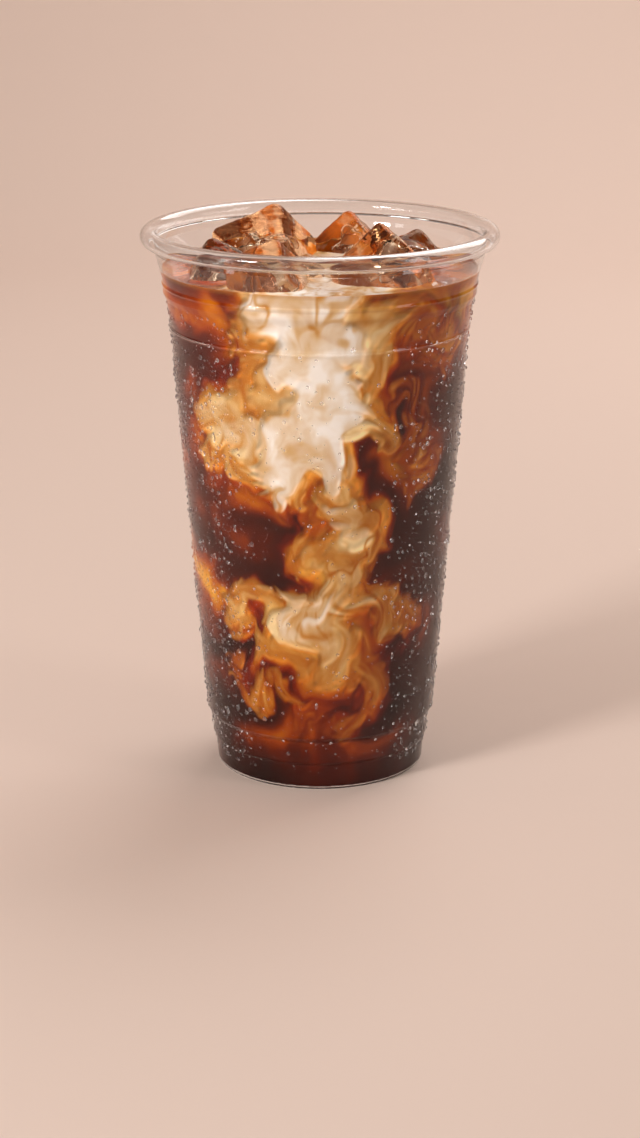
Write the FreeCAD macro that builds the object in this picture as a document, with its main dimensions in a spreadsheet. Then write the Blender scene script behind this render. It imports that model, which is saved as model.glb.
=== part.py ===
"""Cold brew coffee with milk and ice in a clear takeaway cup.

The cup is a thermoformed one-piece shell with a rolled lip, a lid collar, a stacking shoulder and a pushed-up
base. It stands on its foot ring, with its axis on Z and z = 0 under the ring. All sizes are millimetres.
The drink fills the cup to its level. Milk hangs in it as a billowing plume, and ice breaks the surface.
"""
import FreeCAD, Part
import Sketcher
import math
import os

DOC = FreeCAD.newDocument("cold_brew")
SHEET = DOC.addObject("Spreadsheet::Sheet", "Sizes")


# ---------------------------------------------------------------- sizes
def write_sizes(rows):
    """Fill the sheet: a title, a value and a note in each row, with the title as the value's alias."""
    for row, (alias, value, note) in enumerate(rows, start=2):
        SHEET.set(f"A{row}", alias)
        SHEET.set(f"B{row}", str(value))
        SHEET.set(f"C{row}", note)
        SHEET.setAlias(f"B{row}", alias)


write_sizes([
    ("rim_diameter", 98, "over the rolled lip, the common lid size for a large cold cup"),
    ("foot_diameter", 58.6, "over the foot"),
    ("cup_height", 153, "foot ring to the top of the lip"),
    ("wall", 0.6, "thickness of the plastic"),
    ("lip_radius", 2.3, "outside of the rolled lip, in section"),
    ("lip_gap_angle", 80, "what the roll leaves open, under the lip beside the wall"),
    ("collar_inset", 3.7, "lip edge to the collar's widest part, where the lid grips"),
    ("collar_drop", 6.0, "lip top to the collar's widest part"),
    ("collar_foot_inset", 5.3, "lip edge to the bottom of the collar's cone"),
    ("collar_foot_drop", 11.6, "lip top to the bottom of the collar's cone"),
    ("shoulder_inset", 6.0, "lip edge to the stacking shoulder"),
    ("shoulder_drop", 17.4, "lip top to the shoulder's lower edge"),
    ("neck_inset", 6.8, "lip edge to the wall under the shoulder"),
    ("neck_drop", 19.2, "lip top to the wall under the shoulder"),
    ("bead_height", 0.35, "how far the moulded beads stand out"),
    ("bead_half_width", 0.6, "half of a bead's width"),
    ("upper_bead_drop", 15.0, "lip top to the bead in the shoulder"),
    ("lower_bead_drop", 27.0, "lip top to the bead over the body"),
    ("lower_bead_inset", 8.0, "lip edge to the wall at the lower bead"),
    ("body_inset", 8.95, "lip edge to the top of the tapered body"),
    ("body_drop", 40.0, "lip top to the top of the tapered body"),
    ("waist_radius", 80, "the hollow curve from the lower bead into the body"),
    ("heel_outset", 2.65, "foot to the bottom of the tapered body"),
    ("heel_height", 16.0, "foot ring to the bottom of the tapered body"),
    ("heel_step_outset", 1.5, "foot to the wall under the heel's step"),
    ("heel_step_height", 14.6, "foot ring to the lower edge of the heel's step"),
    ("foot_step_upper_outset", 1.1, "foot to the wall over the foot's step"),
    ("foot_step_lower_outset", 0.5, "foot to the wall under the foot's step"),
    ("foot_step_height", 8.2, "foot ring to the upper edge of the foot's step"),
    ("foot_step_width", 0.6, "height of the foot's step"),
    ("foot_corner", 1.2, "radius round the bottom of the foot"),
    ("ring_width", 1.6, "flat of the ring that the cup stands on"),
    ("base_slope", 1.4, "how far the base leans in on its way up"),
    ("base_rise", 2.2, "how far the base is pushed up"),
    ("base_dome", 0.7, "how much more it rises by its middle"),
    ("headspace", 12.0, "lip top to the level of the drink"),
    ("ice_edge", 22.5, "side of a mean ice cube"),
    ("ice_round", 2.6, "radius of its melted edges"),
    ("ice_draft", 2.0, "taper of its sides, in degrees, from the mould"),
    ("ice_clearance", 0.4, "least gap between the ice and the wall"),
    ("milk_girth", 15.5, "radius of the plume's widest billows"),
    ("milk_waist", 8.0, "radius of its narrowest billows"),
    ("milk_sway", 8.0, "how far the plume wanders to each side"),
    ("milk_reach", 112, "how far it hangs down from the surface"),
    ("milk_overlap", 0.32, "share of each billow that the wall flattens"),
])
DOC.recompute()


# ---------------------------------------------------------------- sketches
class Corner:
    """A corner of an outline: expressions for its radius from the cup's axis and its height over the foot.

    arc is the expression for the radius of an arc that leads to this corner, or None where a straight line does.
    hollow turns that arc's belly towards the axis.
    """

    def __init__(self, radius, height, arc=None, hollow=False):
        self.radius = radius
        self.height = height
        self.arc = arc
        self.hollow = hollow


def value_of(expression):
    """Work out an expression of cells and numbers."""
    return float(SHEET.evalExpression(expression))


def backwards(corners):
    """The same outline from its other end, with each arc still between the same two corners."""
    reverse = []
    for i in range(len(corners) - 1, -1, -1):
        lead = corners[i + 1] if i + 1 < len(corners) else Corner("", "")
        reverse.append(Corner(corners[i].radius, corners[i].height, lead.arc, lead.hollow))
    return reverse


def new_sketch(body, name, role):
    """An empty sketch on one of a body's own base planes."""
    sketch = body.newObject("Sketcher::SketchObject", name)
    plane = next(feature for feature in body.Origin.OriginFeatures if feature.Role == role)
    sketch.AttachmentSupport = (plane, [""])
    sketch.MapMode = "FlatFace"
    return sketch


def bind(sketch, constraint, expression):
    """Add a constraint whose size an expression gives."""
    index = sketch.addConstraint(constraint)
    sketch.setExpression(f"Constraints[{index}]", expression)


def arc_belly(start, end, radius, hollow):
    """The middle of an arc from start to end, away from the axis unless it is hollow."""
    chord = end - start
    outward = FreeCAD.Vector(abs(chord.y), -chord.x * math.copysign(1, chord.y), 0).normalize()
    rise = radius - math.sqrt(radius**2 - (chord.Length / 2) ** 2)
    return (start + end) * 0.5 + outward * (-rise if hollow else rise)


def draw_outline(sketch, corners):
    """Draw a closed outline of lines and arcs, with every corner held by the cells in its expressions."""
    places = [FreeCAD.Vector(value_of(corner.radius), value_of(corner.height), 0) for corner in corners]
    edges = []
    for i, place in enumerate(places):
        following = (i + 1) % len(corners)
        after = places[following]
        arc = corners[following].arc
        if arc is None:
            edges.append((sketch.addGeometry(Part.LineSegment(place, after), False), 1, 2))
            continue
        belly = arc_belly(place, after, value_of(arc), corners[following].hollow)
        index = sketch.addGeometry(Part.Arc(place, belly, after), False)
        forward = sketch.getPoint(index, 1).isEqual(place, 1e-6)
        edges.append((index, 1, 2) if forward else (index, 2, 1))
    for i, corner in enumerate(corners):
        index, start, _ = edges[i]
        before, _, finish = edges[i - 1]
        sketch.addConstraint(Sketcher.Constraint("Coincident", before, finish, index, start))
        if corner.radius == "0":
            sketch.addConstraint(Sketcher.Constraint("PointOnObject", index, start, -2))
        else:
            bind(sketch, Sketcher.Constraint("DistanceX", -1, 1, index, start, places[i].x), corner.radius)
        bind(sketch, Sketcher.Constraint("DistanceY", -1, 1, index, start, places[i].y), corner.height)
        if corner.arc is not None:
            bind(sketch, Sketcher.Constraint("Radius", before, value_of(corner.arc)), corner.arc)


def revolve(body, name, corners):
    """Turn a closed outline round the cup's axis."""
    sketch = new_sketch(body, f"{name}_outline", "XZ_Plane")
    draw_outline(sketch, corners)
    DOC.recompute()
    turned = body.newObject("PartDesign::Revolution", name)
    turned.Profile = sketch
    turned.ReferenceAxis = (sketch, ["V_Axis"])
    turned.Angle = 360


# ---------------------------------------------------------------- the cup
ROLL_CENTRE = "Sizes.rim_diameter / 2 - Sizes.lip_radius"
ROLL_HEIGHT = "Sizes.cup_height - Sizes.lip_radius"


def wall_radius(inset, gap):
    """Radius of the upper wall: a named inset in from the lip's edge, and a gap further in."""
    return f"Sizes.rim_diameter / 2 - Sizes.{inset} - ({gap})"


def foot_radius(outset, gap):
    """Radius of the lower wall: a named outset from the foot, and a gap in from there."""
    return f"Sizes.foot_diameter / 2 + Sizes.{outset} - ({gap})"


def below_lip(drop):
    """A height given by its drop from the top of the lip."""
    return f"Sizes.cup_height - ({drop})"


def bead(inset, drop, gap):
    """A moulded bead round the wall, from its lower edge over its crest to its upper edge."""
    edge = wall_radius(inset, gap)
    return [
        Corner(edge, below_lip(f"Sizes.{drop} + Sizes.bead_half_width")),
        Corner(f"{edge} + Sizes.bead_height", below_lip(f"Sizes.{drop}")),
        Corner(edge, below_lip(f"Sizes.{drop} - Sizes.bead_half_width")),
    ]


def wall_line(gap):
    """The cup's outer face from the middle of its base up to the lip, moved in by a gap."""
    ring_outside = "Sizes.foot_diameter / 2 - Sizes.foot_corner"
    ring_inside = f"{ring_outside} - Sizes.ring_width + ({gap})"
    lower_bead = bead("lower_bead_inset", "lower_bead_drop", gap)
    lower_bead[0].arc = "Sizes.waist_radius"
    lower_bead[0].hollow = True
    return [
        Corner("0", f"Sizes.base_rise + Sizes.base_dome + ({gap})"),
        Corner(f"{ring_inside} - Sizes.base_slope", f"Sizes.base_rise + ({gap})"),
        Corner(ring_inside, gap),
        Corner(ring_outside, gap),
        Corner(f"Sizes.foot_diameter / 2 - ({gap})", "Sizes.foot_corner", arc=f"Sizes.foot_corner - ({gap})"),
        Corner(foot_radius("foot_step_lower_outset", gap), "Sizes.foot_step_height - Sizes.foot_step_width"),
        Corner(foot_radius("foot_step_upper_outset", gap), "Sizes.foot_step_height"),
        Corner(foot_radius("heel_step_outset", gap), "Sizes.heel_step_height"),
        Corner(foot_radius("heel_outset", gap), "Sizes.heel_height"),
        Corner(wall_radius("body_inset", gap), below_lip("Sizes.body_drop")),
        *lower_bead,
        Corner(wall_radius("neck_inset", gap), below_lip("Sizes.neck_drop")),
        Corner(wall_radius("shoulder_inset", gap), below_lip("Sizes.shoulder_drop")),
        *bead("shoulder_inset", "upper_bead_drop", gap),
        Corner(wall_radius("collar_foot_inset", gap), below_lip("Sizes.collar_foot_drop")),
        Corner(wall_radius("collar_inset", gap), below_lip("Sizes.collar_drop")),
        Corner(f"{ROLL_CENTRE} - Sizes.lip_radius + Sizes.wall - ({gap})", ROLL_HEIGHT),
    ]


def roll_line(radius):
    """One face of the rolled lip, from the wall over the top, out, and down to where the roll stops."""
    gap = "Sizes.lip_gap_angle * 1 deg"
    return [
        Corner(f"{ROLL_CENTRE} - ({radius})", ROLL_HEIGHT),
        Corner(ROLL_CENTRE, f"{ROLL_HEIGHT} + ({radius})", arc=radius, hollow=True),
        Corner(f"{ROLL_CENTRE} + ({radius})", ROLL_HEIGHT, arc=radius),
        Corner(f"{ROLL_CENTRE} - ({radius}) * cos({gap})", f"{ROLL_HEIGHT} - ({radius}) * sin({gap})", arc=radius),
    ]


def make_cup():
    """The cup: its wall and base in one turned outline, and the open roll of its lip in another."""
    body = DOC.addObject("PartDesign::Body", "cup")
    revolve(body, "shell", wall_line("0") + backwards(wall_line("Sizes.wall")))
    revolve(body, "lip", roll_line("Sizes.lip_radius") + backwards(roll_line("Sizes.lip_radius - Sizes.wall")))
    return body


# ---------------------------------------------------------------- what the cup leaves room for
LEVEL = "Sizes.cup_height - Sizes.headspace"
MOUTH = "Sizes.rim_diameter / 2 - Sizes.collar_foot_inset - Sizes.wall"


def make_room(name, gap, top):
    """The space inside the cup, a gap in from its outer face, up to a height."""
    body = DOC.addObject("PartDesign::Body", name)
    sides = wall_line(gap)
    revolve(body, f"{name}_space", sides + [Corner(sides[-1].radius, top), Corner("0", top)])
    return body


def combine(kind, name, base, tool):
    """Part's own Cut or Common of two shapes."""
    result = DOC.addObject(f"Part::{kind}", name)
    result.Base = base
    result.Tool = tool
    return result


def fuse(name, shapes):
    """Part's own union of several shapes."""
    result = DOC.addObject("Part::MultiFuse", name)
    result.Shapes = shapes
    return result


def make_drink():
    """Everything in the cup up to the level, before the ice and the milk take their share."""
    room = make_room("room", "Sizes.wall", "Sizes.cup_height")
    below = DOC.addObject("Part::Cylinder", "below_level")
    below.setExpression("Radius", "Sizes.rim_diameter / 2")
    below.setExpression("Height", LEVEL)
    return combine("Common", "drink", room, below)


# ---------------------------------------------------------------- ice
# Each cube: where its middle lies (bearing in degrees from +X, share of the mouth's radius, rise over the level),
# its three sides as shares of the mean one, and how it is turned from standing on a corner (about Z, then Y, then X).
ICE_CUBES = [
    (135, 0.50, -1.5, (1.06, 1.02, 1.02), (0, 11, 5)),
    (71, 0.68, -2.8, (0.89, 0.89, 0.84), (24, -8, -1)),
    (-44, 0.57, -0.7, (0.98, 0.98, 1.02), (35, -6, 0)),
    (19, 0.61, -4.4, (0.89, 0.93, 0.76), (60, 13, -18)),
    (197, 0.68, -3.9, (0.93, 0.80, 0.76), (-34, -9, -10)),
    (242, 0.67, 0.1, (0.84, 0.80, 0.80), (4, 8, 0)),
    (250, 0.26, -1.9, (0.56, 0.56, 0.52), (20, 6, 4)),
]
CORNER_UP = FreeCAD.Rotation(FreeCAD.Vector(1, 1, 1), FreeCAD.Vector(0, 0, 1))


def make_block(name, bearing, share, rise, sides, turns):
    """One moulded ice cube with drafted sides and melted edges, afloat on its own placement."""
    body = DOC.addObject("PartDesign::Body", name)
    width, depth, height = (f"Sizes.ice_edge * {side}" for side in sides)
    sketch = new_sketch(body, f"{name}_side", "XY_Plane")
    sketch.setExpression(".AttachmentOffset.Base.z", f"-({height}) / 2")
    signs = [(-1, -1), (1, -1), (1, 1), (-1, 1)]
    half = FreeCAD.Vector(value_of(width) / 2, value_of(depth) / 2, 0)
    places = [FreeCAD.Vector(half.x * across, half.y * along, 0) for across, along in signs]
    for i in range(4):
        sketch.addGeometry(Part.LineSegment(places[i], places[(i + 1) % 4]), False)
    for i in range(4):
        sketch.addConstraint(Sketcher.Constraint("Coincident", i, 2, (i + 1) % 4, 1))
        sketch.addConstraint(Sketcher.Constraint("Horizontal" if i % 2 == 0 else "Vertical", i))
    sketch.addConstraint(Sketcher.Constraint("Symmetric", 0, 1, 2, 1, -1, 1))
    bind(sketch, Sketcher.Constraint("DistanceX", 0, 1, 0, 2, 2 * half.x), width)
    bind(sketch, Sketcher.Constraint("DistanceY", 1, 1, 1, 2, 2 * half.y), depth)
    DOC.recompute()
    pad = body.newObject("PartDesign::Pad", f"{name}_block")
    pad.Profile = sketch
    pad.setExpression("Length", height)
    pad.setExpression("TaperAngle", "-Sizes.ice_draft")
    DOC.recompute()
    melt = body.newObject("PartDesign::Fillet", f"{name}_melt")
    melt.Base = (pad, [""])
    melt.UseAllEdges = True
    melt.setExpression("Radius", "Sizes.ice_round")
    turn_z, turn_y, turn_x = turns
    turn = FreeCAD.Rotation(FreeCAD.Vector(0, 0, 1), turn_z)
    turn = FreeCAD.Rotation(FreeCAD.Vector(0, 1, 0), turn_y) * turn
    turn = FreeCAD.Rotation(FreeCAD.Vector(1, 0, 0), turn_x) * turn
    body.Placement = FreeCAD.Placement(FreeCAD.Vector(), turn * CORNER_UP)
    body.setExpression(".Placement.Base.x", f"({MOUTH}) * {share * math.cos(math.radians(bearing)):.4f}")
    body.setExpression(".Placement.Base.y", f"({MOUTH}) * {share * math.sin(math.radians(bearing)):.4f}")
    body.setExpression(".Placement.Base.z", f"{LEVEL} + ({rise})")
    return body


def make_ice():
    """The cubes that break the surface. Each keeps inside the cup, and flat against a neighbour that it meets."""
    room = make_room("ice_room", "Sizes.wall + Sizes.ice_clearance", "Sizes.cup_height + Sizes.ice_edge")
    blocks = [make_block(f"block_{i}", *cube) for i, cube in enumerate(ICE_CUBES, start=1)]
    cubes = []
    for i, block in enumerate(blocks):
        cube = combine("Common", f"block_{i + 1}_in_cup", block, room)
        for j, earlier in enumerate(blocks[:i]):
            cube = combine("Cut", f"block_{i + 1}_by_{j + 1}", cube, earlier)
        cube.Label = f"ice_{i + 1}"
        cubes.append(cube)
    return cubes


# ---------------------------------------------------------------- milk and coffee
BILLOWS = 9
MILK_TURNS = 1.5


def body_radius(height):
    """The inside radius of the tapered body, carried on up and down as a straight line."""
    foot = "Sizes.foot_diameter / 2 + Sizes.heel_outset - Sizes.wall"
    top = "Sizes.rim_diameter / 2 - Sizes.body_inset - Sizes.wall"
    run = "Sizes.cup_height - Sizes.body_drop - Sizes.heel_height"
    return f"({foot}) + (({top}) - ({foot})) * (({height}) - Sizes.heel_height) / ({run})"


def make_milk(drink, ice):
    """The plume: round billows that hang down the wall, wide at the surface and the end and slim between."""
    billows = []
    for i in range(BILLOWS):
        along = i / (BILLOWS - 1)
        swell = math.cos(math.pi * along) ** 2
        radius = f"(Sizes.milk_waist + (Sizes.milk_girth - Sizes.milk_waist) * {swell:.4f})"
        height = f"{LEVEL} - Sizes.milk_girth / 2 - (Sizes.milk_reach - 1.5 * Sizes.milk_girth) * {along:.4f}"
        billow = DOC.addObject("Part::Sphere", f"billow_{i + 1}")
        billow.setExpression("Radius", radius)
        sway = math.sin(2 * math.pi * MILK_TURNS * along)
        billow.setExpression(".Placement.Base.x", f"Sizes.milk_sway * {sway:.4f}")
        inward = f"{radius} * (1 - 2 * Sizes.milk_overlap)"
        billow.setExpression(".Placement.Base.y", f"{inward} - ({body_radius(height)})")
        billow.setExpression(".Placement.Base.z", height)
        billows.append(billow)
    plume = combine("Common", "plume_in_drink", fuse("plume", billows), drink)
    milk = combine("Cut", "milk", plume, ice)
    return milk


def make_coffee(drink, ice, milk):
    """The coffee: what the ice and the milk leave of the drink."""
    return combine("Cut", "coffee", combine("Cut", "drink_round_ice", drink, ice), milk)


def write_parts(nodes):
    """Check the whole document, then write each node's one solid to its own file."""
    DOC.recompute()
    for item in DOC.Objects:
        if "Invalid" in item.State or "Error" in item.State:
            raise RuntimeError(f"{item.Name} failed: {item.State}")
    for node in nodes:
        if node.Shape.isNull() or not node.Shape.isValid() or len(node.Shape.Solids) != 1:
            raise RuntimeError(f"{node.Label}: {len(node.Shape.Solids)} solids, valid {node.Shape.isValid()}")
    os.makedirs("parts", exist_ok=True)
    for node in nodes:
        node.Shape.exportStep(f"parts/{node.Label}.step")
        print(f"{node.Label}: {node.Shape.Volume / 1000:.1f} ml")


CUP = make_cup()
DRINK = make_drink()
ICE = make_ice()
ALL_ICE = fuse("all_ice", ICE)
MILK = make_milk(DRINK, ALL_ICE)
COFFEE = make_coffee(DRINK, ALL_ICE, MILK)
write_parts([CUP, COFFEE, MILK] + ICE)
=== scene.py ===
# %% [markdown]
# # Cold brew coffee with milk and ice, in a clear cup
# A takeaway cup of clear PET holds cold brew. Milk has just been poured in, and hangs in it as a billowing
# plume. Ice breaks the surface, and the cold wall is beaded with water from the air.
#
# The cup and its sizes come from the CAD frame. This script adds what the eye sees: the milk's swirls,
# melting ice, the wet rim of the liquid and the condensation. Lengths are metres, like the frame's, but a
# few helpers count in millimetres, because every size here is one that a ruler would show.

# %% The frame
import math
import bmesh
import bpy
import numpy as np
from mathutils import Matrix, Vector
from mathutils.bvhtree import BVHTree
from mathutils.geometry import delaunay_2d_cdt


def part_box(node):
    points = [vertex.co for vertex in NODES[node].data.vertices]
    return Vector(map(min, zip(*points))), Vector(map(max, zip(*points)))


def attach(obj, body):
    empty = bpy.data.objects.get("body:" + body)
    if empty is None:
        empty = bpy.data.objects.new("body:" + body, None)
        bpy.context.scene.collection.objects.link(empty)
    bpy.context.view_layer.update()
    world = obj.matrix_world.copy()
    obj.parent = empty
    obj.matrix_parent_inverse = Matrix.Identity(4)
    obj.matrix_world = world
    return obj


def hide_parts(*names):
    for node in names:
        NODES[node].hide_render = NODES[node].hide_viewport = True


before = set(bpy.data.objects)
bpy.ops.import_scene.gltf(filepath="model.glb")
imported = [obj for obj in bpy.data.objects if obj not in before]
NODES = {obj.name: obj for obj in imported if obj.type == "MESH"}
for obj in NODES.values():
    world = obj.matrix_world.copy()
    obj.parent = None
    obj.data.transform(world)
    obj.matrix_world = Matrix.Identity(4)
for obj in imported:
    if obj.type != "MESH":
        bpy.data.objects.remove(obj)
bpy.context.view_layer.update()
ICE_NODES = sorted(name for name in NODES if name.startswith("ice_"))
MM = 0.001
bpy.context.scene.view_settings.view_transform = "Standard"
print("nodes:", ", ".join(sorted(NODES)))


# %% Colours
def linear(hex_colour):
    """An sRGB hex colour as linear numbers."""
    channels = [int(hex_colour[i:i + 2], 16) / 255 for i in (1, 3, 5)]
    return [c / 12.92 if c <= 0.04045 else ((c + 0.055) / 1.055) ** 2.4 for c in channels]


def rgba(hex_colour):
    """The same with an alpha of 1, as shader sockets want it."""
    return (*linear(hex_colour), 1.0)


print("middle grey is", round(linear("#808080")[0], 3), "in linear light")


# %% Helpers for objects and meshes
def in_scene(name, data):
    """A new object in the scene with this data: a mesh, a lamp or a camera."""
    made = bpy.data.objects.new(name, data)
    bpy.context.scene.collection.objects.link(made)
    return made


def smooth(mesh):
    """Shade all of a mesh's faces smooth."""
    mesh.polygons.foreach_set("use_smooth", [True] * len(mesh.polygons))


def mesh_object(name, points, faces):
    """A new object with a smooth mesh. Its points are in the frame's own place, so it sits at the origin."""
    mesh = bpy.data.meshes.new(name)
    mesh.from_pydata(points, [], faces)
    smooth(mesh)
    mesh.update()
    return in_scene(name, mesh)


def merge_doubles(source, target, apart):
    """Write one mesh to another, or to itself, with points that are closer than apart merged."""
    shape = bmesh.new()
    shape.from_mesh(source)
    bmesh.ops.remove_doubles(shape, verts=shape.verts, dist=apart)
    shape.to_mesh(target)
    shape.free()


def ring_faces(rows, columns):
    """The faces between rows of points that each go once round, row by row."""
    column = np.arange(columns)
    after = (column + 1) % columns
    faces = []
    for row in range(rows - 1):
        base, above = row * columns, (row + 1) * columns
        faces += np.stack([base + column, base + after, above + after, above + column], axis=-1).tolist()
    return faces


def coordinates(mesh):
    """A mesh's points as an array."""
    flat = np.empty(len(mesh.vertices) * 3)
    mesh.vertices.foreach_get("co", flat)
    return flat.reshape(-1, 3)


def plain_mesh(thing, name):
    """Bake an object's modifiers into a plain mesh, and drop the modifiers."""
    bpy.context.view_layer.update()
    evaluated = thing.evaluated_get(bpy.context.evaluated_depsgraph_get())
    baked = bpy.data.meshes.new_from_object(evaluated)
    baked.name = name
    thing.modifiers.clear()
    thing.data = baked
    thing.name = name
    return thing


def triangles(thing):
    """How many triangles an object has."""
    return sum(len(face.vertices) - 2 for face in thing.data.polygons)


print("the CAD meshes have", sum(triangles(node) for node in NODES.values()), "triangles")

# %% [markdown]
# ## The camera and the light
# The cup is seen from a little above its rim, with a long lens, so its sides hardly converge. A seamless
# pale floor keeps the shadow. A small soft box is the key, which makes the drops sparkle. Two tall ones give a
# clear cylinder the upright streaks that show it is glossy, and a large one overhead and behind lights the
# liquid and the ice. Clear plastic looks grey if it has nothing to mirror, so the world is a dome, darker
# towards the ground. As light and in reflections it is dim, because a bright one would grey the dark coffee.
# Seen directly, or through ice and plastic, it is as pale as the floor.

# %% Camera
CAMERA_DISTANCE = 0.7135  # from the cup's axis, in metres
CAMERA_HEIGHT = 0.2746  # over the floor, in metres
CAMERA_PITCH = 72.92  # degrees up from straight down
LENS = 83.56  # focal length in millimetres
SENSOR = 36


def make_camera():
    """The camera at the height and distance from which the cup fills the frame."""
    data = bpy.data.cameras.new("camera")
    data.lens = LENS
    data.sensor_width = SENSOR
    data.clip_start = 0.01
    camera = in_scene("camera", data)
    camera.location = (0, -CAMERA_DISTANCE, CAMERA_HEIGHT)
    camera.rotation_euler = (math.radians(CAMERA_PITCH), 0, 0)
    bpy.context.scene.camera = camera


make_camera()
print(f"camera {CAMERA_DISTANCE * 1000:.0f} mm away, {CAMERA_HEIGHT * 1000:.0f} mm up")


# %% A helper for materials
def new_material(name):
    """A material with an empty node tree, and its output."""
    material = bpy.data.materials.new(name)
    material.use_nodes = True
    tree = material.node_tree
    tree.nodes.clear()
    return material, tree, tree.nodes.new("ShaderNodeOutputMaterial")


def add(tree, kind, settings=None, **links):
    """Add a node. settings are its properties. links give each socket a value or another node's socket.

    A link is named for its socket, with _ for a space, or is _ and the socket's number."""
    node = tree.nodes.new(kind)
    for key, value in (settings or {}).items():
        setattr(node, key, value)
    for key, value in links.items():
        numbered = key[0] == "_" and key[1:].isdigit()
        socket = node.inputs[int(key[1:]) if numbered else key.replace("_", " ")]
        if isinstance(value, bpy.types.NodeSocket):
            tree.links.new(value, socket)
        else:
            socket.default_value = value
    return node


print("helpers for materials:", new_material.__name__, "and", add.__name__)

# %% The floor
FLOOR_COLOUR = "#eed5c6"


def make_floor():
    """A pale seamless card that rises behind the cup. Sizes are metres."""
    reach, bend_start, rise, bend = 1.6, 0.75, 1.4, 0.35
    steps = 10
    line = [(-reach, 0.0), (bend_start, 0.0)]
    for i in range(1, steps + 1):
        turn = math.pi / 2 * i / steps
        line.append((bend_start + bend * math.sin(turn), bend * (1 - math.cos(turn))))
    line.append((bend_start + bend, rise))
    points = [(side * reach, y, z) for y, z in line for side in (-1, 1)]
    faces = [(2 * i, 2 * i + 1, 2 * i + 3, 2 * i + 2) for i in range(len(line) - 1)]
    floor = mesh_object("floor", points, faces)
    material, tree, output = new_material("painted_card")
    surface = add(tree, "ShaderNodeBsdfPrincipled", Base_Color=rgba(FLOOR_COLOUR), Roughness=0.9)
    surface.inputs["Specular IOR Level"].default_value = 0.1
    tree.links.new(surface.outputs[0], output.inputs["Surface"])
    floor.data.materials.append(material)


make_floor()
print("floor of painted card")

# %% The lamps
CUP_MIDDLE = Vector((0, 0, 0.075))


def soft_box(name, bearing, height, distance, width, tall, watts):
    """An area lamp that faces the cup. bearing is degrees from the camera's side, to the right."""
    data = bpy.data.lights.new(name, "AREA")
    data.shape = "RECTANGLE"
    data.size = width
    data.size_y = tall
    data.energy = watts
    lamp = in_scene(name, data)
    turn = math.radians(bearing)
    place = Vector((distance * math.sin(turn), -distance * math.cos(turn), height))
    lamp.location = place
    lamp.rotation_euler = (CUP_MIDDLE - place).to_track_quat("-Z", "Y").to_euler()
    print(name, watts, "W")


soft_box("key_box", -48, 0.55, 0.95, 0.22, 0.22, 5.4)
soft_box("left_box", -62, 0.25, 0.9, 0.10, 0.8, 0.8)
soft_box("right_box", 64, 0.30, 0.9, 0.24, 0.8, 1.6)
soft_box("top_box", 150, 0.85, 0.75, 0.8, 0.8, 5.6)

# %% The world
WORLD_TOP = "#fff4ec"
WORLD_LOW = "#b08c7a"
WORLD_DIM, WORLD_PALE = 0.3, 0.95  # its strength as light, and where it is seen


def make_world():
    """A dome, darker towards the ground, dim as light and pale where it is seen."""
    world = bpy.data.worlds.new("studio")
    world.use_nodes = True
    tree = world.node_tree
    tree.nodes.clear()
    place = add(tree, "ShaderNodeTexCoord")
    split = add(tree, "ShaderNodeSeparateXYZ", Vector=place.outputs["Generated"])
    ramp = add(tree, "ShaderNodeMapRange", _0=split.outputs["Z"], _1=-0.3, _2=0.6)
    shade = add(tree, "ShaderNodeMix", {"data_type": "RGBA"}, _0=ramp.outputs[0])
    shade.inputs[6].default_value = rgba(WORLD_LOW)
    shade.inputs[7].default_value = rgba(WORLD_TOP)
    path = add(tree, "ShaderNodeLightPath")
    seen = add(tree, "ShaderNodeMath", {"operation": "LESS_THAN"}, _0=path.outputs["Diffuse Depth"], _1=0.5)
    through = add(tree, "ShaderNodeMath", {"operation": "MULTIPLY"},
                  _0=path.outputs["Is Transmission Ray"], _1=seen.outputs[0])
    pale = add(tree, "ShaderNodeMath", {"operation": "MAXIMUM"},
               _0=through.outputs[0], _1=path.outputs["Is Camera Ray"])
    strength = add(tree, "ShaderNodeMapRange", _0=pale.outputs[0], _3=WORLD_DIM, _4=WORLD_PALE)
    light = add(tree, "ShaderNodeBackground", Color=shade.outputs[2], Strength=strength.outputs[0])
    add(tree, "ShaderNodeOutputWorld", Surface=light.outputs[0])
    bpy.context.scene.world = world


make_world()
print(f"world at {WORLD_DIM} as light and {WORLD_PALE} where it is seen")

# %% [markdown]
# ## How milk hangs in coffee
# Poured milk sinks as a plume: round billows that roll up at their edges, drawn out into curls and threads.
# A fluid simulation would make such shapes, but not where they are wanted. Here the billows are placed on the
# cup's side, as angle and height, and are then stirred: each eddy turns the coordinates round its middle, most
# at the centre and not at all far away, so straight edges become spirals. Many small eddies with a fixed seed
# add the fine threads.
#
# Nothing shines through a mesh's colour, so the depth is worked out too. The drink is looked into along a
# line from the wall, layer by layer. Coffee takes away blue first and red last, which turns milk just behind
# it amber and milk further in brown, and milk itself scatters light back. This is the Beer-Lambert law.

# %% Distances along the side
MEAN_RADIUS = 38.0  # of the drink's side, in millimetres
ROUND = 2 * math.pi * MEAN_RADIUS


def arc(angle):
    """Millimetres along the side for an angle from the front."""
    return np.radians(angle) * MEAN_RADIUS


def nearest_way(along, period):
    """The distance along the side, the short way round. A flat surface has no period."""
    return along if period is None else along - period * np.rint(along / period)


def ease(share):
    """0 to 1 with soft ends."""
    share = np.clip(share, 0, 1)
    return share * share * (3 - 2 * share)


print(f"once round the side is {ROUND:.0f} mm")

# %% Stirring
EDDY_REACHES = 2.4  # past this many reaches an eddy turns nothing


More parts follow.
